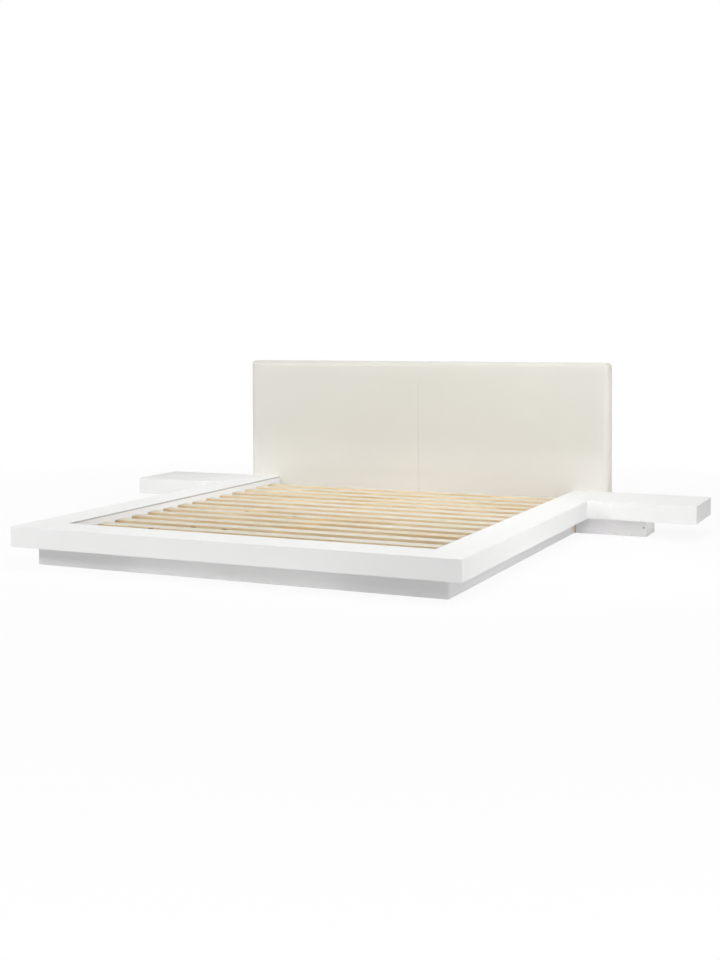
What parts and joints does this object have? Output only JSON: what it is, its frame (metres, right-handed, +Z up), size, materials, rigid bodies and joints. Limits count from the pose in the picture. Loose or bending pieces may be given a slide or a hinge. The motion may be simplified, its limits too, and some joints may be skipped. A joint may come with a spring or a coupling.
{
  "type": "double bed",
  "caption": "Low platform double bed with a wide white ledge on a set-back base, a slatted mattress floor, joined bedside tables and a cream upholstered headboard.",
  "frame": {"origin": "on the floor, in the middle of the whole bed's bounding box", "axes": "+X from the left bedside table to the right one, +Y from the foot to the headboard, +Z up"},
  "size_m": [3.28, 2.273, 0.868],
  "materials": {
    "white_lacquer": "smooth white lacquer on board, satin",
    "underside_board": "plain white-faced board, matt",
    "slat_wood": "sanded pale softwood, unfinished",
    "frame_wood": "sawn softwood, unfinished",
    "panel_board": "plywood, unfinished",
    "headboard_cover": "smooth cream leatherette, a coated cloth, over foam",
    "back_cloth": "non-woven dust cloth",
    "slat_tape": "woven tape",
    "edge_strip": "pale grey edge strip, matt",
    "raw_fibreboard": "raw fibreboard",
    "screw_caps": "brown screw caps, matt",
    "glide_plastic": "smooth glide",
    "zinc_steel": "zinc-plated steel"
  },
  "bodies": {
    "root": {"angle_screws": "zinc_steel", "base_back": "white_lacquer", "base_front": "white_lacquer", "base_left": "white_lacquer", "base_right": "white_lacquer", "centre_beam": "frame_wood", "centre_legs": "frame_wood", "corner_angles": "zinc_steel", "foot_rail_bottom": "underside_board", "foot_rail_front": "white_lacquer", "foot_rail_inner": "white_lacquer", "foot_rail_top": "white_lacquer", "head_cross_rail": "frame_wood", "headboard_back_cloth": "back_cloth", "headboard_bolts": "zinc_steel", "headboard_crosspieces": "frame_wood", "headboard_pad": "headboard_cover", "headboard_panel": "panel_board", "headboard_posts": "frame_wood", "left_rail_bottom": "underside_board", "left_rail_inner": "white_lacquer", "left_rail_outer": "white_lacquer", "left_rail_top": "white_lacquer", "left_support_end": "white_lacquer", "left_support_front": "white_lacquer", "left_table_end": "white_lacquer", "left_table_front": "white_lacquer", "left_table_top": "white_lacquer", "leg_glides": "glide_plastic", "rail_edge_strips": "edge_strip", "right_rail_bottom": "underside_board", "right_rail_inner": "white_lacquer", "right_rail_outer": "white_lacquer", "right_rail_top": "white_lacquer", "right_support_end": "white_lacquer", "right_support_front": "white_lacquer", "right_table_end": "white_lacquer", "right_table_front": "white_lacquer", "right_table_top": "white_lacquer", "slat_01": "slat_wood", "slat_02": "slat_wood", "slat_03": "slat_wood", "slat_04": "slat_wood", "slat_05": "slat_wood", "slat_06": "slat_wood", "slat_07": "slat_wood", "slat_08": "slat_wood", "slat_09": "slat_wood", "slat_10": "slat_wood", "slat_11": "slat_wood", "slat_12": "slat_wood", "slat_13": "slat_wood", "slat_14": "slat_wood", "slat_ledgers": "frame_wood", "slat_tapes": "slat_tape", "support_backs": "white_lacquer", "support_inner_panels": "raw_fibreboard", "support_screws": "screw_caps", "table_backs": "white_lacquer", "table_bottoms": "underside_board"}
  },
  "joints": []
}
